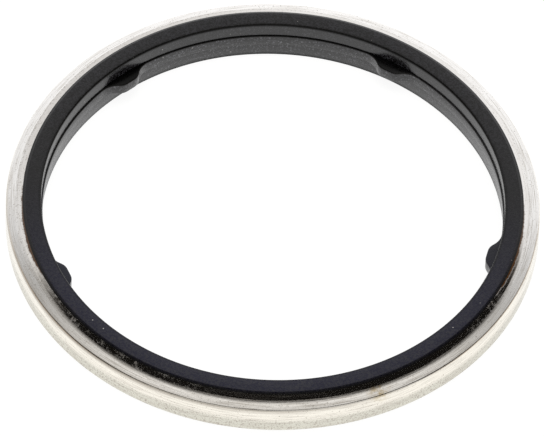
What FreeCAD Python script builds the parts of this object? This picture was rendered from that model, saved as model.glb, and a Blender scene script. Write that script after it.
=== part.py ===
"""Seal ring: a moulded rubber seal bonded inside a bevelled metal support ring.

The ring lies flat on its lower face. The origin is the centre of that face and +Z is the
ring's axis. Lengths are in millimetres and angles in degrees.
"""
import FreeCAD, Part

import math
import os

# Rubber seal, section through the two sealing lips
lip_diameter = 43.40          # inside of the lips
lip_width = 1.76              # radial width of each lip, as far as the metal ring's bore
seal_height = 4.25            # lip face to lip face, not squeezed
lip_chamfer = 0.16            # inner edge of each lip
bond_groove = 0.15            # chamfer where a lip's face falls to the metal's sealing edge

# Rubber web that runs round the inside at half height
web_height = 1.22
web_depth = 0.14              # how far the web stands in from the lips
web_chamfer = 0.10            # upper and lower edge, lugs included

# Lugs on the web, which grip the thread of the stud
lug_count = 5
first_lug_angle = 60.0        # from +X towards +Y
lug_reach = 1.00              # from the web to the lug's tip
lug_tip_width = 1.60          # before its corners are rounded
lug_flank_angle = 46.0        # each flank, away from the lug's centre line
lug_tip_rounding = 0.70
lug_root_rounding = 1.30

# Metal support ring
ring_width = 1.54             # bore to outer wall
face_setback = 0.15           # how far each sealing edge lies below its lip's face
land_width = 0.05             # flat on top of the sealing edge
inner_bevel_width = 0.54
inner_bevel_angle = 30.5      # fall of the steeper bevel beside the sealing edge
outer_bevel_angle = 16.5      # fall of the long bevel out to the rim
rim_rounding = 0.30

# Places that follow from the sizes above
lip_radius = lip_diameter / 2
bond_radius = lip_radius + lip_width
outer_radius = bond_radius + ring_width
web_radius = lip_radius - web_depth
web_bottom = (seal_height - web_height) / 2
lug_tip_radius = web_radius - lug_reach

AXIS = FreeCAD.Vector(0, 0, 1)
ORIGIN = FreeCAD.Vector(0, 0, 0)


def with_mirrored_half(upper_half):
    """Return a section's (radius, height, rounding) corners with their mirror image below."""
    lower_half = []
    for radius, height, rounding in reversed(upper_half):
        lower_half.append((radius, seal_height - height, rounding))
    return upper_half + lower_half


def corner_arc(before, corner, after, rounding):
    """Return the start, middle and end of the arc that rounds one corner of a section."""
    to_before = (before - corner).normalize()
    to_after = (after - corner).normalize()
    half_angle = to_before.getAngle(to_after) / 2
    setback = rounding / math.tan(half_angle)
    depth = rounding / math.sin(half_angle) - rounding
    inward = (to_before + to_after).normalize()
    return corner + to_before * setback, corner + inward * depth, corner + to_after * setback


def revolved(corners):
    """Return the full ring that a section of (radius, height, rounding) corners sweeps."""
    points = [FreeCAD.Vector(radius, 0, height) for radius, height, rounding in corners]
    arcs = []
    for index, point in enumerate(points):
        after = points[(index + 1) % len(points)]
        arcs.append(corner_arc(points[index - 1], point, after, corners[index][2]))
    edges = []
    for index, (start, middle, end) in enumerate(arcs):
        edges.append(Part.makeLine(arcs[index - 1][2], start))
        if corners[index][2] > 0:
            edges.append(Part.Arc(start, middle, end).toShape())
    return Part.Face(Part.Wire(edges)).revolve(ORIGIN, AXIS, 360)


def upright_edges(shape, radius):
    """Return the shape's edges that run parallel to the axis at this distance from it."""
    found = []
    for edge in shape.Edges:
        start, end = edge.Vertexes[0].Point, edge.Vertexes[-1].Point
        upright = math.hypot(start.x - end.x, start.y - end.y) < 1e-6 < abs(start.z - end.z)
        if upright and abs(math.hypot(start.x, start.y) - radius) < 1e-4:
            found.append(edge)
    return found


def inner_outline_edges(web):
    """Return the level edges of the web's inner outline, lugs included, on both faces."""
    found = []
    for edge in web.Edges:
        middle = edge.valueAt((edge.FirstParameter + edge.LastParameter) / 2)
        level = all(abs(vertex.Point.z - middle.z) < 1e-6 for vertex in edge.Vertexes)
        if level and math.hypot(middle.x, middle.y) < lip_radius:
            found.append(edge)
    return found


def web_disc(radius):
    """Return a plain disc of the web's height, at the web's place."""
    return Part.makeCylinder(radius, web_height, FreeCAD.Vector(0, 0, web_bottom))


def lug_blank(angle):
    """Return one lug before rounding: a tab that widens from its tip out into the lips."""
    half_tip = lug_tip_width / 2
    spread = (lip_radius - lug_tip_radius) * math.tan(math.radians(lug_flank_angle))
    outline = [
        FreeCAD.Vector(lug_tip_radius, -half_tip, web_bottom),
        FreeCAD.Vector(lip_radius, -half_tip - spread, web_bottom),
        FreeCAD.Vector(lip_radius, half_tip + spread, web_bottom),
        FreeCAD.Vector(lug_tip_radius, half_tip, web_bottom),
    ]
    blank = Part.Face(Part.makePolygon(outline + outline[:1])).extrude(AXIS * web_height)
    blank.rotate(ORIGIN, AXIS, angle)
    return blank


def web_with_lugs():
    """Return the web and its lugs, rounded at roots and tips and chamfered along the edges."""
    buried_radius = lip_radius + lip_width / 2
    plain_web = web_disc(buried_radius).cut(web_disc(web_radius))
    lug_angles = [first_lug_angle + lug * 360 / lug_count for lug in range(lug_count)]
    web = plain_web.fuse([lug_blank(angle) for angle in lug_angles]).removeSplitter()
    web = web.makeFillet(lug_root_rounding, upright_edges(web, web_radius))
    tip_corner_radius = math.hypot(lug_tip_radius, lug_tip_width / 2)
    web = web.makeFillet(lug_tip_rounding, upright_edges(web, tip_corner_radius))
    return web.makeChamfer(web_chamfer, inner_outline_edges(web))


def rubber_seal():
    """Return the moulded rubber: two sealing lips, the web between them and its lugs."""
    upper_half = [
        (bond_radius, seal_height - bond_groove, 0),
        (bond_radius - bond_groove, seal_height, 0),
        (lip_radius + lip_chamfer, seal_height, 0),
        (lip_radius, seal_height - lip_chamfer, 0),
    ]
    lips = revolved(with_mirrored_half(upper_half))
    return lips.fuse(web_with_lugs()).removeSplitter()


def metal_ring():
    """Return the metal ring: a raised sealing edge, two bevels and a straight rim."""
    land_height = seal_height - face_setback
    land_radius = bond_radius + land_width
    crease_radius = land_radius + inner_bevel_width
    crease_height = land_height - inner_bevel_width * math.tan(math.radians(inner_bevel_angle))
    outer_bevel_width = outer_radius - crease_radius
    rim_height = crease_height - outer_bevel_width * math.tan(math.radians(outer_bevel_angle))
    upper_half = [
        (bond_radius, land_height, 0),
        (land_radius, land_height, 0),
        (crease_radius, crease_height, 0),
        (outer_radius, rim_height, rim_rounding),
    ]
    return revolved(with_mirrored_half(upper_half))


def export(shape, node):
    """Write one solid as a STEP file that is named for its node."""
    solid = shape.Solids[0]
    assert len(shape.Solids) == 1 and solid.isValid(), node
    solid.exportStep(f"parts/{node}.step")
    print(f"{node}: {solid.Volume:.1f} mm3")


os.makedirs("parts", exist_ok=True)
export(metal_ring(), "metal_ring")
export(rubber_seal(), "rubber_seal")
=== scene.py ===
"""Seal ring: a bevelled steel support ring with a moulded rubber seal bonded in its bore.

Sizes are in millimetres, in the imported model's own frame: the ring lies on its lower lip face,
which is centred on the origin, and +Z is its axis. The scene's lengths are metres, so every
size goes through MM once, where it enters the scene.
"""
import logging
import math
from collections.abc import Callable, Iterator, Mapping, Sequence
from contextlib import contextmanager
from dataclasses import dataclass
from enum import Enum
from typing import Any

import bmesh
import bpy
from mathutils import Matrix, Vector


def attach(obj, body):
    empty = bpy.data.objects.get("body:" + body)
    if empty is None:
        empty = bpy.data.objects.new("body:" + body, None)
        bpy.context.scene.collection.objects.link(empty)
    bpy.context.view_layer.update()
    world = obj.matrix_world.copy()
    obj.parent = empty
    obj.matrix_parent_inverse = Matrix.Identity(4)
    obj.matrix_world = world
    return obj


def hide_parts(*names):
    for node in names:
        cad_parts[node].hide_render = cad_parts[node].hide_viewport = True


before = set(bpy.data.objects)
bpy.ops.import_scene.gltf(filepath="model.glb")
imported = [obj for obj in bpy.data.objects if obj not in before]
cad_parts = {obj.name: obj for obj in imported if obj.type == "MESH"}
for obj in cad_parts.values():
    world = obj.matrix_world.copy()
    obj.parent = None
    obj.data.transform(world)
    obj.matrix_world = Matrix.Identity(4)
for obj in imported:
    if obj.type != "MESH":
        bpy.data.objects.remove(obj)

MM = 0.001
TOUCHING = 0.002 * MM       # points closer than this are the same point
OUTER_RADIUS = 25.0
FINER_SHARE = 0.6           # how strong each finer layer of a pattern is
WHITE = "#FFFFFF"
BLACK = "#000000"
log = logging.getLogger("seal_ring")

Colour = tuple[float, float, float, float]
Span = tuple[float, float]
SectionPoint = tuple[float, float]
Socket = bpy.types.NodeSocket


class Slot(Enum):
    """The record's material slots."""

    STEEL = "plated_steel"
    RUBBER = "seal_rubber"


class RayKind(Enum):
    """Kinds of light ray that the studio answers differently, by their Light Path names."""

    CAMERA = "Is Camera Ray"
    GLOSSY = "Is Glossy Ray"
    TRANSMISSION = "Is Transmission Ray"


# Colours and nodes


def linear(hex_colour: str) -> Colour:
    """Turn an sRGB hex colour into the linear RGBA that sockets take.

    Args:
        hex_colour: a colour such as "#C8C4BC".

    Returns:
        Red, green and blue in linear light, and an alpha of 1.
    """
    channels = [int(hex_colour[place:place + 2], 16) / 255 for place in (1, 3, 5)]
    red, green, blue = [
        value / 12.92 if value <= 0.04045 else ((value + 0.055) / 1.055) ** 2.4
        for value in channels
    ]
    return red, green, blue, 1.0


def add_node(
    tree: bpy.types.NodeTree,
    kind: str,
    settings: Mapping[str | int, Any] | None = None,
    links: Mapping[str | int, "Socket | Level"] | None = None,
) -> bpy.types.Node:
    """Add one node to a tree, with its settings and its links.

    Args:
        tree: the material's or the world's node tree.
        kind: the name of the node's type.
        settings: values for inputs, by name or number, and for the node's own options.
        links: sockets and levels that feed inputs, by the input's name or number.

    Returns:
        The new node.
    """
    node = tree.nodes.new(kind)
    for name, value in (settings or {}).items():
        if isinstance(name, str) and name not in node.inputs:
            setattr(node, name, value)
    for name, value in (settings or {}).items():
        if isinstance(name, int) or name in node.inputs:
            node.inputs[name].default_value = value
    for name, source in (links or {}).items():
        socket = source.socket if isinstance(source, Level) else source
        tree.links.new(socket, node.inputs[name])
    return node


def metres(zone: Span) -> Span:
    """Turn a zone's two ends from millimetres to metres."""
    return zone[0] * MM, zone[1] * MM


def fresh_tree(owner: bpy.types.Material | bpy.types.World) -> bpy.types.NodeTree:
    """Switch a material or world to nodes, and empty its tree.

    Args:
        owner: the new material or world.

    Returns:
        Its empty node tree.
    """
    owner.use_nodes = True
    owner.node_tree.nodes.clear()
    return owner.node_tree


@dataclass(frozen=True)
class Level:
    """A number that changes from place to place on a surface or in a backdrop.

    What arithmetic makes of levels and plain numbers is a level too.
    """

    tree: bpy.types.NodeTree
    socket: Socket

    def worked_out(self, operation: str, other: "Level | float") -> "Level":
        """Take one step of arithmetic.

        Args:
            operation: the Math node's name for the step.
            other: the level or plain number on the right of the sign.

        Returns:
            The result.
        """
        settings: dict[str | int, Any] = {"operation": operation}
        links: dict[str | int, Socket | Level] = {0: self}
        if isinstance(other, Level):
            links[1] = other
        else:
            settings[1] = other
        node = add_node(self.tree, "ShaderNodeMath", settings, links)
        return Level(self.tree, node.outputs["Value"])

    def __add__(self, other: "Level | float") -> "Level":
        """Return the sum of this level and another."""
        return self.worked_out("ADD", other)

    def __sub__(self, other: "Level | float") -> "Level":
        """Return this level with another taken off it."""
        return self.worked_out("SUBTRACT", other)

    def __mul__(self, other: "Level | float") -> "Level":
        """Return the product of this level and another."""
        return self.worked_out("MULTIPLY", other)

    def __truediv__(self, other: "Level | float") -> "Level":
        """Return this level divided by another."""
        return self.worked_out("DIVIDE", other)

    def __abs__(self) -> "Level":
        """Return this level without its sign."""
        return self.worked_out("ABSOLUTE", 0.0)

    def higher_of(self, other: "Level") -> "Level":
        """Return this level or another, whichever is higher."""
        return self.worked_out("MAXIMUM", other)

    def inverted(self) -> "Level":
        """Return 1 less this level."""
        return (self - 1.0) * -1.0

    def rise(self, zone: Span, top: float = 1.0) -> "Level":
        """Rise smoothly across a zone.

        Args:
            zone: this level's values where the rise starts and where it ends.
            top: how high it rises.

        Returns:
            0 before the zone and top after it.
        """
        settings = {
            "interpolation_type": "SMOOTHSTEP",
            "From Min": zone[0],
            "From Max": zone[1],
            "To Max": top,
        }
        node = add_node(self.tree, "ShaderNodeMapRange", settings, {"Value": self})
        return Level(self.tree, node.outputs["Result"])

    def rise_over(self, zone: Span) -> "Level":
        """Rise smoothly from 0 to 1 across a zone that is given in millimetres."""
        return self.rise(metres(zone))

    def scaled(self, zone: Span, results: Span) -> "Level":
        """Change evenly across a zone, and stay the same beyond it.

        Args:
            zone: this level's values at the zone's two ends.
            results: what they become.

        Returns:
            The scaled level.
        """
        settings = {
            "From Min": zone[0],
            "From Max": zone[1],
            "To Min": results[0],
            "To Max": results[1],
        }
        node = add_node(self.tree, "ShaderNodeMapRange", settings, {"Value": self})
        return Level(self.tree, node.outputs["Result"])


@dataclass(frozen=True)
class Coat:
    """A surface's colour, built up layer on layer."""

    tree: bpy.types.NodeTree
    top: Socket | Colour

    def under(self, colour: str, amount: Level) -> "Coat":
        """Lay one more colour over the coat.

        Args:
            colour: the sRGB colour.
            amount: how well it covers, from 0 to 1.

        Returns:
            The coat with its new layer.
        """
        settings: dict[str | int, Any] = {"data_type": "RGBA", 7: linear(colour)}
        links: dict[str | int, Socket | Level] = {0: amount}
        if isinstance(self.top, tuple):
            settings[6] = self.top
        else:
            links[6] = self.top
        return Coat(self.tree, add_node(self.tree, "ShaderNodeMix", settings, links).outputs[2])


@dataclass(frozen=True)
class Relief:
    """A surface's small ups and downs, one pattern upon another."""

    tree: bpy.types.NodeTree
    normal: Socket | None = None

    def under(self, pattern: Level, depth: float) -> "Relief":
        """Press one more pattern into the surface.

        Args:
            pattern: the pattern, from 0 in its hollows to 1 on its tops.
            depth: how deep it is, in millimetres.

        Returns:
            The relief with its new pattern.
        """
        links: dict[str | int, Socket | Level] = {"Height": pattern}
        if self.normal is not None:
            links["Normal"] = self.normal
        settings = {"Strength": 1.0, "Distance": depth * MM}
        bump = add_node(self.tree, "ShaderNodeBump", settings, links)
        return Relief(self.tree, bump.outputs["Normal"])


# Modelling by hand


def deselect_all() -> None:
    """Leave nothing selected, in object mode."""
    if bpy.context.mode != "OBJECT":
        bpy.ops.object.mode_set(mode="OBJECT")
    bpy.ops.object.select_all(action="DESELECT")


def take_up(piece: bpy.types.Object) -> None:
    """Make a piece the only selected object and the active one.

    Args:
        piece: the object to work on.
    """
    deselect_all()
    piece.select_set(True)
    bpy.context.view_layer.objects.active = piece


def new_piece(name: str) -> bpy.types.Object:
    """Name the primitive that was just added and put its place into its mesh.

    Args:
        name: the object's and the mesh's name.

    Returns:
        The object.
    """
    piece = bpy.context.active_object
    piece.name = piece.data.name = name
    bpy.ops.object.transform_apply(location=True, rotation=True, scale=True)
    return piece


@contextmanager
def edit_mode(piece: bpy.types.Object) -> Iterator[None]:
    """Open a piece in edit mode with nothing selected, and close it again.

    Args:
        piece: the object to shape.

    Yields:
        Nothing, while the piece is open.
    """
    take_up(piece)
    bpy.ops.object.mode_set(mode="EDIT")
    bpy.ops.mesh.select_all(action="DESELECT")
    yield
    bpy.ops.object.mode_set(mode="OBJECT")


def select_edges(piece: bpy.types.Object, wanted: Callable[[bmesh.types.BMEdge], bool]) -> int:
    """Select the edges that pass a test, and nothing else, in edit mode.

    Args:
        piece: the object that is open in edit mode.
        wanted: says of one edge whether it is selected.

    Returns:
        How many edges are selected.
    """
    bpy.ops.mesh.select_mode(type="EDGE")
    bpy.ops.mesh.select_all(action="DESELECT")
    shape = bmesh.from_edit_mesh(piece.data)
    shape.edges.ensure_lookup_table()
    found = [edge for edge in shape.edges if wanted(edge)]
    for edge in found:
        edge.select_set(True)
    bmesh.update_edit_mesh(piece.data)
    return len(found)


def lies_on(edge: bmesh.types.BMEdge, radius: float, height: float) -> bool:
    """Tell whether both ends of an edge are on one circle of a ring.

    Args:
        edge: an edge of the open mesh.
        radius: the circle's radius, in millimetres.
        height: how high it lies, in millimetres.

    Returns:
        Whether it is part of that circle.
    """
    return all(
        abs(vert.co.xy.length - radius * MM) < TOUCHING and abs(vert.co.z - height * MM) < TOUCHING
        for vert in edge.verts
    )


def round_edges(setback: float, steps: int) -> None:
    """Round the selected edges, starting this far from them, in this many steps."""
    bpy.ops.mesh.bevel(offset=setback * MM, segments=steps, profile=0.5, affect="EDGES")


def finish_shape(piece: bpy.types.Object, smooth_up_to: float = 40.0) -> None:
    """Merge doubles, turn the faces outwards and shade the roundings smoothly.

    Args:
        piece: the modelled object.
        smooth_up_to: the largest angle between faces that still shades smoothly, in degrees.
    """
    with edit_mode(piece):
        bpy.ops.mesh.select_all(action="SELECT")
        bpy.ops.mesh.remove_doubles(threshold=TOUCHING / 4)
        bpy.ops.mesh.normals_make_consistent(inside=False)
    bpy.ops.object.shade_smooth_by_angle(angle=math.radians(smooth_up_to))
    weighted = piece.modifiers.new("even_flats", "WEIGHTED_NORMAL")
    weighted.keep_sharp = True
    bpy.ops.object.modifier_apply(modifier=weighted.name)


@dataclass(frozen=True)
class Corner:
    """One corner of a ring's section."""

    radius: float
    height: float
    rounding: float = 0.0
    steps: int = 3


def turned_ring(name: str, corners: Sequence[Corner], segments: int) -> bpy.types.Object:
    """Model a ring by drawing one circle of edges from corner to corner of its section.

    Args:
        name: the new object's name.
        corners: the closed section, in order.
        segments: how many straight steps make the full circle.

    Returns:
        The ring with its corners rounded, open in no mode.
    """
    deselect_all()
    first = corners[0]
    bpy.ops.mesh.primitive_circle_add(
        vertices=segments, radius=first.radius * MM, location=(0, 0, first.height * MM)
    )
    ring = new_piece(name)
    with edit_mode(ring):
        bpy.ops.mesh.select_mode(type="EDGE")
        bpy.ops.mesh.select_all(action="SELECT")
        for before, corner in zip(corners, corners[1:]):
            bpy.ops.mesh.extrude_edges_indiv()
            growth = corner.radius / before.radius
            level = (0, 0, before.height * MM)
            bpy.ops.transform.resize(value=(growth, growth, 1), center_override=level)
            bpy.ops.transform.translate(value=(0, 0, (corner.height - before.height) * MM))
        last = corners[-1]
        select_edges(
            ring,
            lambda edge: lies_on(edge, first.radius, first.height)
            or lies_on(edge, last.radius, last.height),
        )
        bpy.ops.mesh.bridge_edge_loops()
        bpy.ops.mesh.select_all(action="SELECT")
        bpy.ops.mesh.normals_make_consistent(inside=False)
        for index, corner in enumerate(corners):
            if corner.rounding > 0:
                after = corners[(index + 1) % len(corners)]
                select_edges(ring, lambda edge: lies_on(edge, corner.radius, corner.height))
                round_edges(corner_setback(corners[index - 1], corner, after), corner.steps)
    return ring


def corner_setback(before: Corner, corner: Corner, after: Corner) -> float:
    """Work out how far from a corner its rounding starts.

    Args:
        before: the corner before it in the section.
        corner: the corner that is rounded.
        after: the corner after it.

    Returns:
        The distance along both sides, in millimetres.
    """
    incoming = math.atan2(corner.height - before.height, corner.radius - before.radius)
    outgoing = math.atan2(after.height - corner.height, after.radius - corner.radius)
    turn = abs((outgoing - incoming + math.pi) % (2 * math.pi) - math.pi)
    return corner.rounding * math.tan(turn / 2)


def with_mirrored_half(upper_half: Sequence[Corner], height: float) -> list[Corner]:
    """Complete a section whose lower half mirrors its upper half.

    Args:
        upper_half: the upper corners, in order.
        height: the whole section's height, in millimetres.

    Returns:
        The closed section's corners.
    """
    lower_half = [
        Corner(corner.radius, height - corner.height, corner.rounding, corner.steps)
        for corner in reversed(upper_half)
    ]
    return list(upper_half) + lower_half


# Finishes


@dataclass
class RingPlace:
    """Where the shaded point is on a ring, in metres.

    Its radius and its direction are seen from the ring's axis. Across, along and height are its
    places on X, Y and Z, and on the ring's near side along is below 0.
    """

    tree: bpy.types.NodeTree

    def __post_init__(self) -> None:
        """Add the coordinate nodes once."""
        self.place = add_node(self.tree, "ShaderNodeTexCoord").outputs["Object"]
        flat = add_node(
            self.tree,
            "ShaderNodeVectorMath",
            {"operation": "MULTIPLY", 1: (1.0, 1.0, 0.0)},
            {0: self.place},
        ).outputs["Vector"]
        reach = add_node(self.tree, "ShaderNodeVectorMath", {"operation": "LENGTH"}, {0: flat})
        self.radius = Level(self.tree, reach.outputs["Value"])
        self.direction = add_node(
            self.tree, "ShaderNodeVectorMath", {"operation": "NORMALIZE"}, {0: flat}
        ).outputs["Vector"]
        axes = add_node(self.tree, "ShaderNodeSeparateXYZ", None, {0: self.place}).outputs
        self.across = Level(self.tree, axes["X"])
        self.along = Level(self.tree, axes["Y"])
        self.height = Level(self.tree, axes["Z"])

    def blotches(self, size: float, detail: float = 2.0) -> Level:
        """Add an uneven pattern, the same in all directions.

        Args:
            size: how large one blotch is, in millimetres.
            detail: how many finer layers are added.

        Returns:
            The pattern, from 0 to 1.
        """
        settings = {"Scale": 1 / (size * MM), "Detail": detail, "Roughness": FINER_SHARE}
        pattern = add_node(self.tree, "ShaderNodeTexNoise", settings, {"Vector": self.place})
        return Level(self.tree, pattern.outputs["Fac"])

    def streaks(self, length: float, width: float) -> Level:
        """Add streaks that run round the ring.

        Args:
            length: how long a streak is, in millimetres at the rim.
            width: how wide it is, in millimetres.

        Returns:
            The pattern, from 0 to 1.
        """
        axes = add_node(self.tree, "ShaderNodeSeparateXYZ", None, {0: self.direction}).outputs
        turns = OUTER_RADIUS / length
        side = self.radius - self.height
        stretched = add_node(
            self.tree,
            "ShaderNodeCombineXYZ",
            None,
            {
                "X": Level(self.tree, axes["X"]) * turns,
                "Y": Level(self.tree, axes["Y"]) * turns,
                "Z": side / (width * MM),
            },
        ).outputs["Vector"]
        settings = {"Scale": 1.0, "Detail": 2.0, "Roughness": FINER_SHARE}
        pattern = add_node(self.tree, "ShaderNodeTexNoise", settings, {"Vector": stretched})
        return Level(self.tree, pattern.outputs["Fac"])

    def circle(self, corner: SectionPoint, reach: float) -> Level:
        """Mark one circle of the ring.

        Args:
            corner: the circle's radius and its height, in millimetres.
            reach: how far from it the mark fades away, in millimetres.

        Returns:
            1 on the circle, falling to 0 beside it.
        """
        section = add_node(
            self.tree,
            "ShaderNodeCombineXYZ",
            None,
            {"X": self.radius - corner[0] * MM, "Y": self.height - corner[1] * MM},
        )
        gap = add_node(
            self.tree,
            "ShaderNodeVectorMath",
            {"operation": "LENGTH"},
            {0: section.outputs["Vector"]},
        )
        return Level(self.tree, gap.outputs["Value"]).rise_over((reach, 0.0))

    def spot(self, centre: tuple[float, float, float], reach: float) -> Level:
        """Mark one place on the ring.

        Args:
            centre: the place, in millimetres.
            reach: how far from it the mark fades away, in millimetres.

        Returns:
            1 at the place, falling to 0 beside it.
        """
        gap = add_node(
            self.tree,
            "ShaderNodeVectorMath",
            {"operation": "DISTANCE", 1: tuple(value * MM for value in centre)},
            {0: self.place},
        )
        return Level(self.tree, gap.outputs["Value"]).rise_over((reach, 0.0))


@dataclass(frozen=True)
class TumbledZincPlate:
    """Bright zinc plate over steel that was turned, and tumbled before plating.

    The eye sees a pale, slightly warm metal whose reflections are broken up by turning streaks
    and a fine hammered grain, with darker specks, a handling stain and some brown bonding
    residue beside the rubber. Painted shade lies along the crease, low on the near wall and on
    the rim's near corner. Zones are in millimetres, and those of a pattern are its levels.
    """

    # Colours
    plate: str = "#F6F4F2"
    wall_plate: str = "#F8F3E8"
    # grey of the duller streaks and pits, and of the rim corner's painted shade
    dull_and_shade: str = "#BDB6AC"
    # painted shade low on the near wall: the floor's contact shadow as the wall mirrors it
    lower_wall_shade: str = "#DAD8CC"
    inner_bevel: str = "#C9C5C1"
    # painted shade along the crease between the two bevels
    crease: str = "#98928B"
    speck: str = "#8A8378"
    stain: str = "#B59C62"
    residue: str = "#4A3018"

    # Patterns: their sizes, their depths and the gloss they leave
    grain: float = 0.17         # coarser than the real grain, which a picture can't show
    grain_detail: float = 3.0
    grain_share: float = 0.5    # beside dents or streaks
    grain_depth: float = 0.0020
    dents: float = 0.62
    dent_depth: float = 0.004
    streak_length: float = 3.2
    streak_width: float = 0.10
    streak_depth: float = 0.0021
    streak_dullness: float = 0.60
    dull_streaks: Span = (0.45, 0.70)
    roughness: Span = (0.15, 0.27)
    uneven_gloss: Span = (0.5, 1.0)

    # Inner bevel: burnished, pitted at the near left and right, painted shade along the crease
    crease_radius: float = 24.05
    crease_reach: float = 0.13
    crease_line: float = 0.02
    crease_shade_grain: Span = (0.2, 0.75)
    burnish_reach: float = 0.15
    burnished_gloss: float = 0.10
    burnished_relief: float = 0.22
    bevel_reach: float = 0.12
    bevel_tint: float = 0.40
    far_left_tint: float = 0.45
    left_side: Span = (6.0, -12.0)
    far_side: Span = (-4.0, 8.0)
    pitted_left: Span = (-2.0, -12.0)
    pitted_right: Span = (15.0, 21.0)
    pitted_near: Span = (-8.5, -13.0)
    mottling: Span = (0.70, 0.92)
    mottled_roughness: float = 0.20

    # The rim and the wall, with painted shade on the rim's corner and low on the near wall
    wall_zone: Span = (24.9, 24.99)
    lower_wall_zone: Span = (2.4, 1.7)
    lower_wall_side: Span = (-3.0, -10.0)
    wall_pits: Span = (0.48, 0.64)
    rim: SectionPoint = (25.02, 3.41)
    rim_reach: float = 0.42
    rim_sides: Span = (-14.0, 14.0)
    # how strong the rim corner's painted shade is, from the left to the right
    rim_shade_strength: Span = (1.0, 0.05)
    rim_near_side: Span = (8.0, -4.0)

    # Specks, stain and residue
    specks: Span = (0.60, 0.72)
    speck_strength: float = 0.7
    more_specks: float = 0.04
    stain_place: tuple[float, float, float] = (10.3, -22.1, 3.66)
    stain_reach: float = 1.5
    stain_patches: Span = (0.35, 0.65)
    stain_strength: float = 0.8
    residue_start: float = 23.30
    residue_reach: float = 0.30
    residue_beyond: Span = (6.0, -7.0)
    residue_before: Span = (-13.0, -7.0)
    residue_grain: float = 0.1
    residue_dents: float = 0.25
    residue_edge: Span = (0.04, 0.18)

    def material(self) -> bpy.types.Material:
        """Build the material's nodes.

        Returns:
            The finished material.
        """
        material = bpy.data.materials.new("zinc_plate_over_tumbled_steel")
        tree = fresh_tree(material)
        ring = RingPlace(tree)
        grain = ring.blotches(self.grain, self.grain_detail)
        dents = ring.blotches(self.dents)
        streaks = ring.streaks(self.streak_length, self.streak_width)
        burnish_zone = (self.crease_radius, self.crease_radius - self.burnish_reach)
        burnished = ring.radius.rise_over(burnish_zone)
        pitted = self.pitted_patches(ring)
        residue = self.residue_mask(ring, grain, dents)
        coat = self.plated(ring, grain, streaks)
        coat = coat.under(self.stain, self.stain_mask(ring, dents)).under(self.residue, residue)
        fine = grain * self.grain_share
        mottled = (fine + dents).rise(self.mottling) * burnished * pitted
        roughness = (streaks + fine).scaled(self.uneven_gloss, self.roughness)
        roughness = roughness - burnished * self.burnished_gloss + mottled * self.mottled_roughness
        depth = (burnished - pitted).scaled((0.0, 1.0), (1.0, self.burnished_relief))
        relief = Relief(tree).under(dents * depth, self.dent_depth)
        relief = relief.under(streaks * depth, self.streak_depth)
        relief = relief.under(grain * depth, self.grain_depth)
        shader = add_node(
            tree,
            "ShaderNodeBsdfPrincipled",
            None,
            {
                "Base Color": coat.top,
                "Metallic": residue.inverted(),
                "Roughness": roughness,
                "Normal": relief.normal,
            },
        )
        add_node(tree, "ShaderNodeOutputMaterial", None, {"Surface": shader.outputs["BSDF"]})
        return material

    def pitted_patches(self, ring: RingPlace) -> Level:
        """Find where the inner bevel is pitted: at the near left and the near right.

        Args:
            ring: where the shaded point is.

        Returns:
            1 in the pitted patches, and 0 elsewhere.
        """
        left = ring.across.rise_over(self.pitted_left)
        right = ring.across.rise_over(self.pitted_right)
        return left.higher_of(right) * ring.along.rise_over(self.pitted_near)

    def plated(self, ring: RingPlace, grain: Level, streaks: Level) -> Coat:
        """Build up the plate's colours, from the bare plate to its specks, painted shade included.

        Args:
            ring: where the shaded point is.
            grain: the fine pattern, from 0 to 1.
            streaks: the turning streaks, from 0 to 1.

        Returns:
            The plate's coat.
        """
        on_wall = ring.radius.rise_over(self.wall_zone)
        coat = Coat(ring.tree, linear(self.plate)).under(self.wall_plate, on_wall)
        coat = self.shaded_wall(coat, ring, grain, on_wall)
        coat = coat.under(self.dull_and_shade, streaks.rise(self.dull_streaks) * self.streak_dullness)
        left = ring.across.rise_over(self.left_side)
        far_left = left * ring.along.rise_over(self.far_side)
        tint = far_left * self.far_left_tint + self.bevel_tint
        bevel_zone = (self.crease_radius, self.crease_radius - self.bevel_reach)
        within = ring.radius.rise_over(bevel_zone)
        coat = coat.under(self.inner_bevel, within * tint)
        # Painted shade along the crease between the bevels, broken up by the grain
        crease_gap = abs(ring.radius - self.crease_radius * MM)
        crease = crease_gap.rise_over((self.crease_reach, self.crease_line))
        coat = coat.under(self.crease, crease * grain.rise(self.crease_shade_grain) * tint)
        specks = (grain + within * left * self.more_specks).rise(self.specks)
        return coat.under(self.speck, specks * self.speck_strength)

    def shaded_wall(self, coat: Coat, ring: RingPlace, grain: Level, on_wall: Level) -> Coat:
        """Paint shade on the lower part of the near wall, with duller pits, and on the rim's
        corner.

        Args:
            coat: the plate's coat so far.
            ring: where the shaded point is.
            grain: the fine pattern, from 0 to 1.
            on_wall: 1 on the straight wall and 0 on the bevels.

        Returns:
            The coat with its painted shade.
        """
        # Painted shade low on the near wall, the floor's contact shadow as it mirrors it, with
        # duller pits
        below = on_wall * ring.height.rise_over(self.lower_wall_zone)
        below = below * ring.along.rise_over(self.lower_wall_side)
        coat = coat.under(self.lower_wall_shade, below)
        coat = coat.under(self.dull_and_shade, below * grain.rise(self.wall_pits))
        # Painted shade on the rim's rounded corner, on the near side only and stronger at the left
        shade_by_side = ring.across.scaled(metres(self.rim_sides), self.rim_shade_strength)
        shaded_rim = ring.circle(self.rim, self.rim_reach) * shade_by_side
        return coat.under(self.dull_and_shade, shaded_rim * ring.along.rise_over(self.rim_near_side))

    def stain_mask(self, ring: RingPlace, dents: Level) -> Level:
        """Return how strong the handling stain on the outer bevel is."""
        place = ring.spot(self.stain_place, self.stain_reach)
        return place * dents.rise(self.stain_patches) * self.stain_strength

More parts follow.
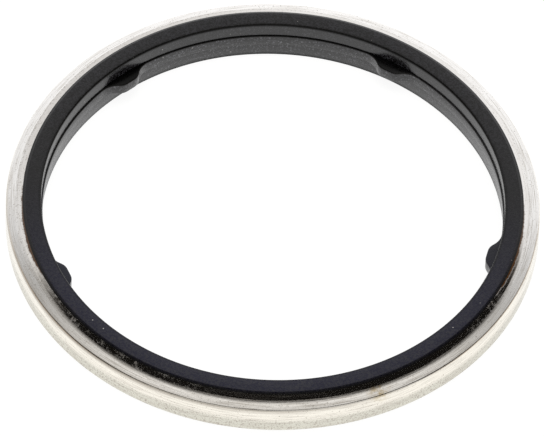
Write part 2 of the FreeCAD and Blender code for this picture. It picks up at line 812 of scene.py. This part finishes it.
    def residue_mask(self, ring: RingPlace, grain: Level, dents: Level) -> Level:
        """Work out where bonding residue covers the plate: beside the rubber, at the sides.

        Args:
            ring: where the shaded point is.
            grain: the fine pattern, from 0 to 1.
            dents: the coarser pattern, from 0 to 1.

        Returns:
            1 where the residue is, and 0 elsewhere.
        """
        beyond = ring.along.rise_over(self.residue_beyond)
        sides = beyond * ring.along.rise_over(self.residue_before)
        edge = sides * (self.residue_reach * MM) + self.residue_start * MM
        edge = edge + grain * (self.residue_grain * MM) + dents * (self.residue_dents * MM)
        return (edge - ring.radius).rise_over(self.residue_edge)


@dataclass(frozen=True)
class MouldedNitrile:
    """Black nitrile rubber as it leaves a compression mould.

    The eye sees a deep black with a soft grey sheen, slightly uneven, with a greyer, coarser
    grain on the inner walls and a few pale specks of dust. The near side's bluish tint and the
    near ledge's grey are painted sheen; the black corners, groove and far ledge are painted
    shade. Zones are in millimetres, and those of a pattern are its levels.
    """

    # Colours
    # rubber is the near side's black with a painted bluish sheen; far_rubber is the plain black
    rubber: str = "#0C0B23"
    far_rubber: str = "#0D0B0C"
    bloom: str = "#2A292E"
    wall_bloom: str = "#75757A"
    shaded: str = "#020202"
    # painted shade in the groove beside the metal
    groove: str = "#0C0B0D"
    # painted sheen on the near ledge and lug tops; the far ones take the painted shade
    near_lug_sheen: str = "#2C2D35"
    dust: str = "#A9A6A1"

    # Gloss, by the skin's index of refraction
    # the lower ledge, groove and corner glosses belong to their painted light and shade
    face_gloss: float = 1.5
    wall_gloss: float = 1.59
    ledge_gloss: float = 1.3
    groove_gloss: float = 1.38
    corner_gloss: float = 1.25
    roughness: Span = (0.20, 0.36)
    uneven_gloss: Span = (0.3, 0.7)

    # Patterns
    grain: float = 0.19         # coarser than the real grain, which a picture can't show
    grain_detail: float = 3.0
    grain_depth: float = 0.010
    blotch: float = 0.9
    bloom_grain: Span = (0.4, 0.6)
    bloom_sides: Span = (-6.0, 18.0)
    far_side: Span = (-14.0, 4.0)
    streak_length: float = 1.3
    streak_width: float = 0.11
    wall_streaks: Span = (0.30, 0.65)
    wall_grain: Span = (0.52, 0.66)
    lip_bloom: float = 0.3
    dust_spacing: float = 0.9
    dust_size: float = 0.075
    dust_core: float = 0.6      # the share of a speck that is fully pale
    dusty_cells: Span = (0.66, 0.86)

    # Corners, walls, ledge and groove; corners, ledge and groove hold painted light and shade
    # painted shade at the lip's upper inner corner
    corner: SectionPoint = (21.72, 4.19)
    corner_reach: float = 0.33
    # painted contact shadow at the lip's foot, against the floor
    foot: SectionPoint = (21.72, 0.0)
    foot_reach: float = 0.50
    wall_zone: Span = (21.95, 21.80)
    groove_zone: Span = (23.06, 23.40)
    ledge_zone: Span = (21.76, 21.70)
    ledge_height: float = 2.735
    ledge_reach: float = 0.14
    ledge_line: float = 0.02
    ledge_sides: Span = (8.0, 17.0)
    ledge_strength: Span = (1.0, 0.45)
    ledge_far_side: Span = (-6.0, 6.0)
    above_ledge: float = 0.1    # where the lips' wall starts, with its thinner bloom

    def material(self) -> bpy.types.Material:
        """Build the material's nodes.

        Returns:
            The finished material.
        """
        material = bpy.data.materials.new("moulded_nitrile_rubber")
        tree = fresh_tree(material)
        ring = RingPlace(tree)
        grain = ring.blotches(self.grain, self.grain_detail)
        on_wall = self.wall_mask(ring)
        coat = self.moulded(ring, grain, on_wall)
        roughness = grain.scaled(self.uneven_gloss, self.roughness)
        relief = Relief(tree).under(grain, self.grain_depth)
        # Painted light on the web's upper face: a grey sheen on the near side, shade on the far
        # side
        ledge_sheen_and_shade = Coat(tree, linear(self.near_lug_sheen)).under(
            self.shaded, ring.along.rise_over(self.ledge_far_side)
        )
        # Painted shade at the lip's upper inner corner and its foot
        upper = ring.circle(self.corner, self.corner_reach)
        corners = upper.higher_of(ring.circle(self.foot, self.foot_reach))
        # Painted shade in the groove beside the metal
        groove = ring.radius.rise_over(self.groove_zone)
        smooth = Relief(tree)
        shaded = Coat(tree, linear(self.shaded))
        painted_groove_shade = Coat(tree, linear(self.groove))
        surface = self.skin(self.face_gloss, coat, roughness, relief)
        # The ledge, groove and corner skins are darker copies of the rubber: painted light and
        # shade
        for amount, skin in (
            (on_wall, self.skin(self.wall_gloss, coat, roughness, relief)),
            (self.on_ledge(ring), self.skin(self.ledge_gloss, ledge_sheen_and_shade, roughness, smooth)),
            (groove, self.skin(self.groove_gloss, painted_groove_shade, roughness, relief)),
            (corners, self.skin(self.corner_gloss, shaded, roughness, relief)),
        ):
            surface = add_node(
                tree, "ShaderNodeMixShader", None, {0: amount, 1: surface, 2: skin}
            ).outputs["Shader"]
        add_node(tree, "ShaderNodeOutputMaterial", None, {"Surface": surface})
        return material

    def moulded(self, ring: RingPlace, grain: Level, on_wall: Level) -> Coat:
        """Build up the rubber's colours, from a black with a painted near sheen to its dust.

        Args:
            ring: where the shaded point is.
            grain: the fine pattern, from 0 to 1.
            on_wall: 1 on the inner walls and 0 on faces that lie flat.

        Returns:
            The rubber's coat.
        """
        # Painted bluish sheen on the near side, plain black on the far side
        coat = Coat(ring.tree, linear(self.rubber)).under(
            self.far_rubber, ring.along.rise_over(self.far_side)
        )
        bloom = grain.rise(self.bloom_grain) * ring.blotches(self.blotch)
        bloom = bloom * abs(ring.along).rise_over(self.bloom_sides)
        coat = coat.under(self.bloom, bloom)
        streaks = ring.streaks(self.streak_length, self.streak_width)
        wall = streaks.rise(self.wall_streaks) * grain.rise(self.wall_grain) * on_wall
        lip_zone = (self.ledge_height + self.above_ledge, self.ledge_height)
        wall = wall * ring.height.scaled(metres(lip_zone), (self.lip_bloom, 1.0))
        coat = coat.under(self.wall_bloom, wall)
        return coat.under(self.dust, self.dust_mask(ring))

    def skin(self, gloss: float, coat: Coat, roughness: Level, relief: Relief) -> Socket:
        """Lay the rubber's skin.

        Args:
            gloss: the skin's index of refraction, which sets how it mirrors.
            coat: its colour.
            roughness: how soft its reflections are.
            relief: its ups and downs.

        Returns:
            The shader's socket.
        """
        settings: dict[str | int, Any] = {"IOR": gloss}
        links: dict[str | int, Socket | Level] = {"Roughness": roughness}
        if isinstance(coat.top, tuple):
            settings["Base Color"] = coat.top
        else:
            links["Base Color"] = coat.top
        if relief.normal is not None:
            links["Normal"] = relief.normal
        return add_node(coat.tree, "ShaderNodeBsdfPrincipled", settings, links).outputs["BSDF"]

    def wall_mask(self, ring: RingPlace) -> Level:
        """Return 1 on the inner walls of lips, web and lugs, and 0 on faces that lie flat."""
        return ring.radius.rise_over(self.wall_zone) * self.ledge_mask(ring).inverted()

    def ledge_mask(self, ring: RingPlace) -> Level:
        """Return 1 at the height of the web's upper face, falling to 0 above and below."""
        gap = abs(ring.height - self.ledge_height * MM)
        return gap.rise_over((self.ledge_reach, self.ledge_line))

    def on_ledge(self, ring: RingPlace) -> Level:
        """Find the web's upper face, where its painted sheen and shade lie, weaker at the right.

        Args:
            ring: where the shaded point is.

        Returns:
            How strong its painted sheen and shade are, and 0 elsewhere.
        """
        strength = ring.across.scaled(metres(self.ledge_sides), self.ledge_strength)
        return ring.radius.rise_over(self.ledge_zone) * strength * self.ledge_mask(ring)

    def dust_mask(self, ring: RingPlace) -> Level:
        """Scatter a few specks of dust.

        Args:
            ring: where the shaded point is.

        Returns:
            1 on a speck, and 0 elsewhere.
        """
        tree = ring.tree
        cells = add_node(
            tree,
            "ShaderNodeTexVoronoi",
            {"Scale": 1 / (self.dust_spacing * MM)},
            {"Vector": ring.place},
        )
        size = self.dust_size / self.dust_spacing
        speck = Level(tree, cells.outputs["Distance"]).rise((size, self.dust_core * size))
        chance = add_node(tree, "ShaderNodeSeparateColor", None, {0: cells.outputs["Color"]})
        return speck * Level(tree, chance.outputs["Red"]).rise(self.dusty_cells)


# The object's pieces


@dataclass
class SupportRing:
    """The steel ring: a raised sealing edge beside the rubber, two bevels and a straight rim."""

    bond_radius: float = 23.46
    outer_radius: float = OUTER_RADIUS
    height: float = 4.25
    face_setback: float = 0.15
    inner_bevel_width: float = 0.59
    inner_bevel_angle: float = 28.3
    outer_bevel_angle: float = 16.5
    rim_rounding: float = 0.23
    crease_rounding: float = 2.60
    segments: int = 360

    def section(self) -> list[Corner]:
        """Work out the section's corners from the sizes.

        Returns:
            The closed section, from the bore's upper edge outwards and back below.
        """
        edge_height = self.height - self.face_setback
        crease_radius = self.bond_radius + self.inner_bevel_width
        inner_fall = self.inner_bevel_width * math.tan(math.radians(self.inner_bevel_angle))
        crease_height = edge_height - inner_fall
        outer_width = self.outer_radius - crease_radius
        rim_height = crease_height - outer_width * math.tan(math.radians(self.outer_bevel_angle))
        upper_half = [
            Corner(self.bond_radius, edge_height),
            Corner(crease_radius, crease_height, self.crease_rounding, steps=6),
            Corner(self.outer_radius, rim_height, self.rim_rounding, steps=10),
        ]
        return with_mirrored_half(upper_half, self.height)

    def build(self) -> bpy.types.Object:
        """Model the ring in place.

        Returns:
            The ring's object.
        """
        ring = turned_ring("support_ring", self.section(), self.segments)
        finish_shape(ring)
        return ring

    def dress(self, ring: bpy.types.Object) -> None:
        """Give the ring its plate and hand it over in place of the plain solid.

        Args:
            ring: the ring's object.
        """
        ring.data.materials.append(TumbledZincPlate().material())
        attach(ring, "root")
        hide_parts("metal_ring")


@dataclass
class MouldedSeal:
    """The rubber: two sealing lips, the web between them and the lugs that grip the stud."""

    bond_radius: float = 23.46
    lip_radius: float = 21.70
    height: float = 4.25
    lip_rounding: float = 0.20
    lower_lip_rounding: float = 0.04
    groove_width: float = 0.28
    groove_depth: float = 0.15
    shoulder_rounding: float = 0.15
    web_height: float = 1.22
    web_depth: float = 0.14
    web_rounding: float = 0.12
    lug_count: int = 5
    first_lug_angle: float = 60.0
    lug_reach: float = 1.00
    lug_tip_width: float = 1.80
    lug_tip_rounding: float = 1.20
    lug_root_rounding: float = 1.90
    lug_flank_angle: float = 46.0
    segments: int = 720

    @property
    def web_radius(self) -> float:
        """How far the web's inner wall is from the axis."""
        return self.lip_radius - self.web_depth

    @property
    def web_top(self) -> float:
        """Height of the web's upper face."""
        return (self.height + self.web_height) / 2

    @property
    def web_bottom(self) -> float:
        """Height of the web's lower face."""
        return (self.height - self.web_height) / 2

    @property
    def tip_corner(self) -> Vector:
        """Where a lug's tip would meet its flank, from the axis: inwards and along the wall."""
        return Vector((self.web_radius - self.lug_reach, self.lug_tip_width / 2))

    def lug_outline(self) -> list[tuple[float, Callable[[Vector], float]]]:
        """Work out the wall's distance from the axis along half a lug.

        Returns:
            The outline's parts from the lug's centre line outwards: the angle in radians at
            which each part ends, and the distance along a ray with this direction.
        """
        flank_angle = math.radians(self.lug_flank_angle)
        flank = Vector((math.cos(flank_angle), math.sin(flank_angle)))
        across = Vector((-flank.y, flank.x))
        corner = self.tip_corner
        setback = self.lug_tip_rounding * math.tan((math.pi / 2 - flank_angle) / 2)
        tip_end = corner - Vector((0, setback))
        flank_start = corner + flank * setback
        tip_centre = tip_end + Vector((self.lug_tip_rounding, 0))
        root_reach = self.web_radius - self.lug_root_rounding
        shifted = corner + across * self.lug_root_rounding
        along = shifted.dot(flank)
        run = math.sqrt(along**2 - shifted.length_squared + root_reach**2) - along
        flank_end = corner + flank * run
        root_centre = shifted + flank * run

        def to_line(ray: Vector) -> float:
            """Return how far the flank is along a ray."""
            return corner.dot(across) / ray.dot(across)

        def to_arc(ray: Vector, centre: Vector, radius: float, side: int) -> float:
            """Return how far one side of a circle is along a ray."""
            middle = ray.dot(centre)
            return middle + side * math.sqrt(middle**2 - centre.length_squared + radius**2)

        return [
            (math.atan2(tip_end.y, tip_end.x), lambda ray: corner.x / ray.x),
            (
                math.atan2(flank_start.y, flank_start.x),
                lambda ray: to_arc(ray, tip_centre, self.lug_tip_rounding, -1),
            ),
            (math.atan2(flank_end.y, flank_end.x), to_line),
            (
                math.atan2(root_centre.y, root_centre.x),
                lambda ray: to_arc(ray, root_centre, self.lug_root_rounding, 1),
            ),
        ]

    def lips_and_web(self) -> bpy.types.Object:
        """Model the rubber without its lugs.

        Returns:
            The plain ring of rubber.
        """
        groove_start = self.bond_radius - self.groove_width
        upper_half = [
            Corner(self.bond_radius, self.height - self.groove_depth),
            Corner(groove_start, self.height, self.shoulder_rounding, steps=4),
            Corner(self.lip_radius, self.height, self.lip_rounding, steps=6),
            Corner(self.lip_radius, self.web_top),
            Corner(self.web_radius, self.web_top),
        ]
        section = with_mirrored_half(upper_half, self.height)
        # The lip's lower inner edge is sharper than the upper one
        section[-3] = Corner(self.lip_radius, 0.0, self.lower_lip_rounding, steps=2)
        return turned_ring("moulded_seal", section, self.segments)

    def draw_lugs(self, seal: bpy.types.Object) -> None:
        """Draw the web's inner wall inwards to the outline of every lug.

        Args:
            seal: the plain rubber, open in edit mode.
        """
        step = math.tau / self.segments
        away = 0.0
        for end, distance in self.lug_outline():
            while away < end:
                ray = Vector((math.cos(away), math.sin(away)))
                growth = distance(ray) / self.web_radius
                select_edges(seal, lambda edge: self.is_column(edge, away))
                bpy.ops.transform.resize(value=(growth, growth, 1), center_override=(0, 0, 0))
                away += step

    def is_column(self, edge: bmesh.types.BMEdge, away: float) -> bool:
        """Tell whether an edge stands upright in the web's wall, beside a lug's middle.

        Args:
            edge: an edge of the open mesh.
            away: how far round from the lug's middle the edge should be, in radians.

        Returns:
            Whether it is such an edge.
        """
        foot, head = edge.verts
        if abs(foot.co.z - head.co.z) < TOUCHING or not all(
            abs(vert.co.xy.length - self.web_radius * MM) < TOUCHING for vert in edge.verts
        ):
            return False
        pitch = math.tau / self.lug_count
        turn = math.atan2(foot.co.y, foot.co.x) - math.radians(self.first_lug_angle)
        beside = abs((turn + pitch / 2) % pitch - pitch / 2)
        quarter_step = math.tau / self.segments / 4
        return abs(beside - away) < quarter_step

    def build(self) -> bpy.types.Object:
        """Model the seal in place.

        Returns:
            The seal's object.
        """
        seal = self.lips_and_web()
        with edit_mode(seal):
            self.draw_lugs(seal)
            found = select_edges(seal, self.on_inner_outline)
            round_edges(self.web_rounding, steps=3)
        log.info("%s: %d edges of the web's outline rounded", seal.name, found)
        finish_shape(seal)
        return seal

    def on_inner_outline(self, edge: bmesh.types.BMEdge) -> bool:
        """Tell whether an edge is on the web's inner outline, lugs included.

        Args:
            edge: an edge of the open mesh.

        Returns:
            Whether it is such an edge.
        """
        levels = (self.web_top * MM, self.web_bottom * MM)
        inside = (self.lip_radius - self.web_depth / 2) * MM
        return (
            any(all(abs(v.co.z - level) < TOUCHING for v in edge.verts) for level in levels)
            and all(vert.co.xy.length < inside for vert in edge.verts)
        )

    def dress(self, seal: bpy.types.Object) -> None:
        """Give the seal its rubber and hand it over in place of the plain solid.

        Args:
            seal: the seal's object.
        """
        seal.data.materials.append(MouldedNitrile().material())
        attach(seal, "root")
        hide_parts("rubber_seal")


# The studio


@dataclass
class Studio:
    """A pale floor under a soft tent, with a darker gap where the camera looks in.

    Zones are where the tent changes, given by how far a direction points up or away from the
    camera.
    """

    # Floor and lamp
    floor_side: float = 3000.0
    floor_drop: float = 0.02
    paper: str = "#F6F5F2"
    glow: float = 0.89
    shade_left_out: float = 0.78
    lamp_height: float = 800.0
    lamp_side: float = 600.0
    lamp_watts: float = 1.9

    # How bright the tent is
    tent_seen: float = 1.0
    tent_diffuse: float = 0.7
    tent_roof: float = 0.95
    tent_gap: float = 0.45
    tent_wall: float = 0.93
    tent_foot: float = 1.08
    tent_front: float = 0.70
    tent_low: float = 0.60
    tent_dark: float = 0.008
    gap_skew: float = 0.06

    # Where it changes: upwards for roof, wall, foot and low, away for the others
    roof_zone: Span = (0.80, 0.98)
    wall_zone: Span = (0.78, 0.60)
    foot_zone: Span = (0.60, 0.25)
    low_zone: Span = (0.58, 0.42)
    front_zone: Span = (-0.34, -0.46)
    far_zone: Span = (-0.45, -0.30)
    warm_zone: Span = (0.60, 0.25)
    outside: Span = (0.5, 0.0)

    # Its bowed front edge, and its tints
    tent_bow: float = 0.89
    tent_skew: float = 0.33
    tent_edge: float = -0.022
    edge_reach: float = 0.09
    warm: str = "#FFFCF6"
    dim_warm: str = "#FFF0E0"

    def floor(self) -> None:
        """Lay the floor just under the ring, seen from above only."""
        deselect_all()
        bpy.ops.mesh.primitive_plane_add(
            size=self.floor_side * MM, location=(0, 0, -self.floor_drop * MM)
        )
        floor = new_piece("floor")
        floor.data.materials.append(self.floor_paper())

    def floor_paper(self) -> bpy.types.Material:
        """Build the floor's paper, which reads as white and keeps the ring's shadow.

        Returns:
            The floor's material.
        """
        material = bpy.data.materials.new("white_backing_paper")
        tree = fresh_tree(material)
        paper = add_node(
            tree, "ShaderNodeBsdfDiffuse", {"Color": linear(self.paper)}
        ).outputs["BSDF"]
        black = add_node(tree, "ShaderNodeBsdfTransparent", {"Color": linear(BLACK)})
        dimmed = add_node(
            tree,
            "ShaderNodeMixShader",
            {0: self.shade_left_out},
            {1: paper, 2: black.outputs["BSDF"]},
        )
        glow = add_node(
            tree, "ShaderNodeEmission", {"Color": linear(WHITE), "Strength": self.glow}
        )
        lit = add_node(
            tree,
            "ShaderNodeAddShader",
            None,
            {0: dimmed.outputs["Shader"], 1: glow.outputs["Emission"]},
        )
        bounced = add_node(
            tree,
            "ShaderNodeMixShader",
            None,
            {0: self.seen_rays(tree), 1: paper, 2: lit.outputs["Shader"]},
        )
        below = add_node(tree, "ShaderNodeNewGeometry").outputs["Backfacing"]
        clear = add_node(tree, "ShaderNodeBsdfTransparent").outputs["BSDF"]
        shader = add_node(
            tree,
            "ShaderNodeMixShader",
            None,
            {0: below, 1: bounced.outputs["Shader"], 2: clear},
        )
        add_node(tree, "ShaderNodeOutputMaterial", None, {"Surface": shader.outputs["Shader"]})
        return material

    def seen_rays(self, tree: bpy.types.NodeTree) -> Level:
        """Tell the rays that see the backdrop: the camera's, and those off or through gloss.

        Args:
            tree: the floor's node tree.

        Returns:
            1 for such a ray, and 0 for others.
        """
        rays = add_node(tree, "ShaderNodeLightPath").outputs
        camera, glossy, through = (Level(tree, rays[kind.value]) for kind in RayKind)
        return camera.higher_of(glossy).higher_of(through)

    def lamp(self) -> None:
        """Hang one soft lamp over the ring, which gloss and camera don't show."""
        light = bpy.data.lights.new("overhead_softbox", "AREA")
        light.shape = "SQUARE"
        light.size = self.lamp_side * MM
        light.energy = self.lamp_watts
        lamp = bpy.data.objects.new("overhead_softbox", light)
        lamp.location = (0, 0, self.lamp_height * MM)
        lamp.visible_glossy = False
        lamp.visible_camera = False
        bpy.context.collection.objects.link(lamp)

    def tent(self) -> None:
        """Set the world: even light on matt things, and the tent's own pattern in gloss."""
        world = bpy.data.worlds.new("light_tent")
        bpy.context.scene.world = world
        tree = fresh_tree(world)
        rays = add_node(tree, "ShaderNodeLightPath").outputs
        camera, glossy = rays[RayKind.CAMERA.value], rays[RayKind.GLOSSY.value]
        brightness, coat = self.tent_pattern(tree)
        even = add_node(
            tree,
            "ShaderNodeMix",
            {"data_type": "FLOAT", 2: self.tent_diffuse, 3: self.tent_seen},
            {0: camera},
        )
        strength = add_node(
            tree,
            "ShaderNodeMix",
            {"data_type": "FLOAT"},
            {0: glossy, 2: even.outputs[0], 3: brightness},
        )
        colour = add_node(
            tree,
            "ShaderNodeMix",
            {"data_type": "RGBA", 6: linear(WHITE)},
            {0: glossy, 7: coat.top},
        )
        background = add_node(
            tree,
            "ShaderNodeBackground",
            None,
            {"Strength": strength.outputs[0], "Color": colour.outputs[2]},
        )
        add_node(
            tree, "ShaderNodeOutputWorld", None, {"Surface": background.outputs["Background"]}
        )
        world.cycles.sampling_method = "NONE"

    def tent_pattern(self, tree: bpy.types.NodeTree) -> tuple[Level, Coat]:
        """Work out how bright the tent is in each direction, and its colour there.

        Args:
            tree: the world's node tree.

        Returns:
            The tent's brightness and its coat of colour.
        """
        direction = add_node(tree, "ShaderNodeTexCoord").outputs["Generated"]
        axes = add_node(tree, "ShaderNodeSeparateXYZ", None, {0: direction}).outputs
        across, away, up = (Level(tree, axes[name]) for name in "XYZ")
        roof = up.rise(self.roof_zone, self.tent_roof - self.tent_gap)
        wall = up.rise(self.wall_zone, self.tent_wall - self.tent_gap)
        foot = up.rise(self.foot_zone, self.tent_foot - self.tent_wall)
        cloth = across * self.gap_skew + (roof + wall + foot + self.tent_gap)
        front = away.rise(self.front_zone, self.tent_front)
        outer = front.higher_of(up.rise(self.low_zone, self.tent_low)) + self.tent_dark
        bow = across * across * (across * self.tent_skew + self.tent_bow)
        edge_zone = (self.tent_edge - self.edge_reach, self.tent_edge + self.edge_reach)
        inside = (away - bow).rise(edge_zone)
        brightness = add_node(
            tree,
            "ShaderNodeMix",
            {"data_type": "FLOAT"},
            {0: inside, 2: outer, 3: cloth},
        )
        beyond = inside.rise(self.outside) * away.rise(self.far_zone)
        coat = Coat(tree, linear(WHITE)).under(self.warm, away.rise(self.warm_zone))
        return Level(tree, brightness.outputs[0]), coat.under(self.dim_warm, beyond)

    def build(self) -> None:
        """Set up floor, lamp and tent, and the plain view transform."""
        self.floor()
        self.lamp()
        self.tent()
        bpy.context.scene.view_settings.view_transform = "Standard"


@dataclass
class ProductCamera:
    """A long lens that looks down at the ring and is turned slightly about its own axis."""

    elevation: float = 49.83
    azimuth: float = -0.35
    roll: float = -2.40
    distance: float = 1230.0
    lens: float = 870.3
    sensor: float = 36.0
    aim_height: float = 4.25
    right_of_ring: float = -0.12
    below_ring: float = 1.697
    nearest: float = 10.0
    farthest: float = 10000.0

    def build(self) -> None:
        """Set the camera up and make it the scene's."""
        tilt = math.radians(self.elevation)
        level_right = Vector((1, 0, 0))
        level_up = Vector((0, math.sin(tilt), math.cos(tilt)))
        back = Vector((0, -math.cos(tilt), math.sin(tilt)))
        cos_roll = math.cos(math.radians(self.roll))
        sin_roll = math.sin(math.radians(self.roll))
        right = level_right * cos_roll - level_up * sin_roll
        up = level_right * sin_roll + level_up * cos_roll
        aim = Vector((0, 0, self.aim_height)) + right * self.right_of_ring - up * self.below_ring
        data = bpy.data.cameras.new("product_camera")
        data.lens = self.lens
        data.sensor_width = self.sensor
        data.clip_start = self.nearest * MM
        data.clip_end = self.farthest * MM
        camera = bpy.data.objects.new("product_camera", data)
        pose = Matrix((right, up, back)).transposed().to_4x4()
        pose.translation = (aim + back * self.distance) * MM
        camera.matrix_world = Matrix.Rotation(math.radians(self.azimuth), 4, "Z") @ pose
        bpy.context.collection.objects.link(camera)
        bpy.context.scene.camera = camera


def main() -> None:
    """Build the ring's pieces and the studio round them, in order."""
    logging.basicConfig(level=logging.INFO, format="%(name)s: %(message)s")
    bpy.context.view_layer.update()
    for maker in (SupportRing(), MouldedSeal()):
        piece = maker.build()
        maker.dress(piece)
        log.info("%s: %d faces", piece.name, len(piece.data.polygons))
    Studio().build()
    ProductCamera().build()


if __name__ == "__main__":
    main()
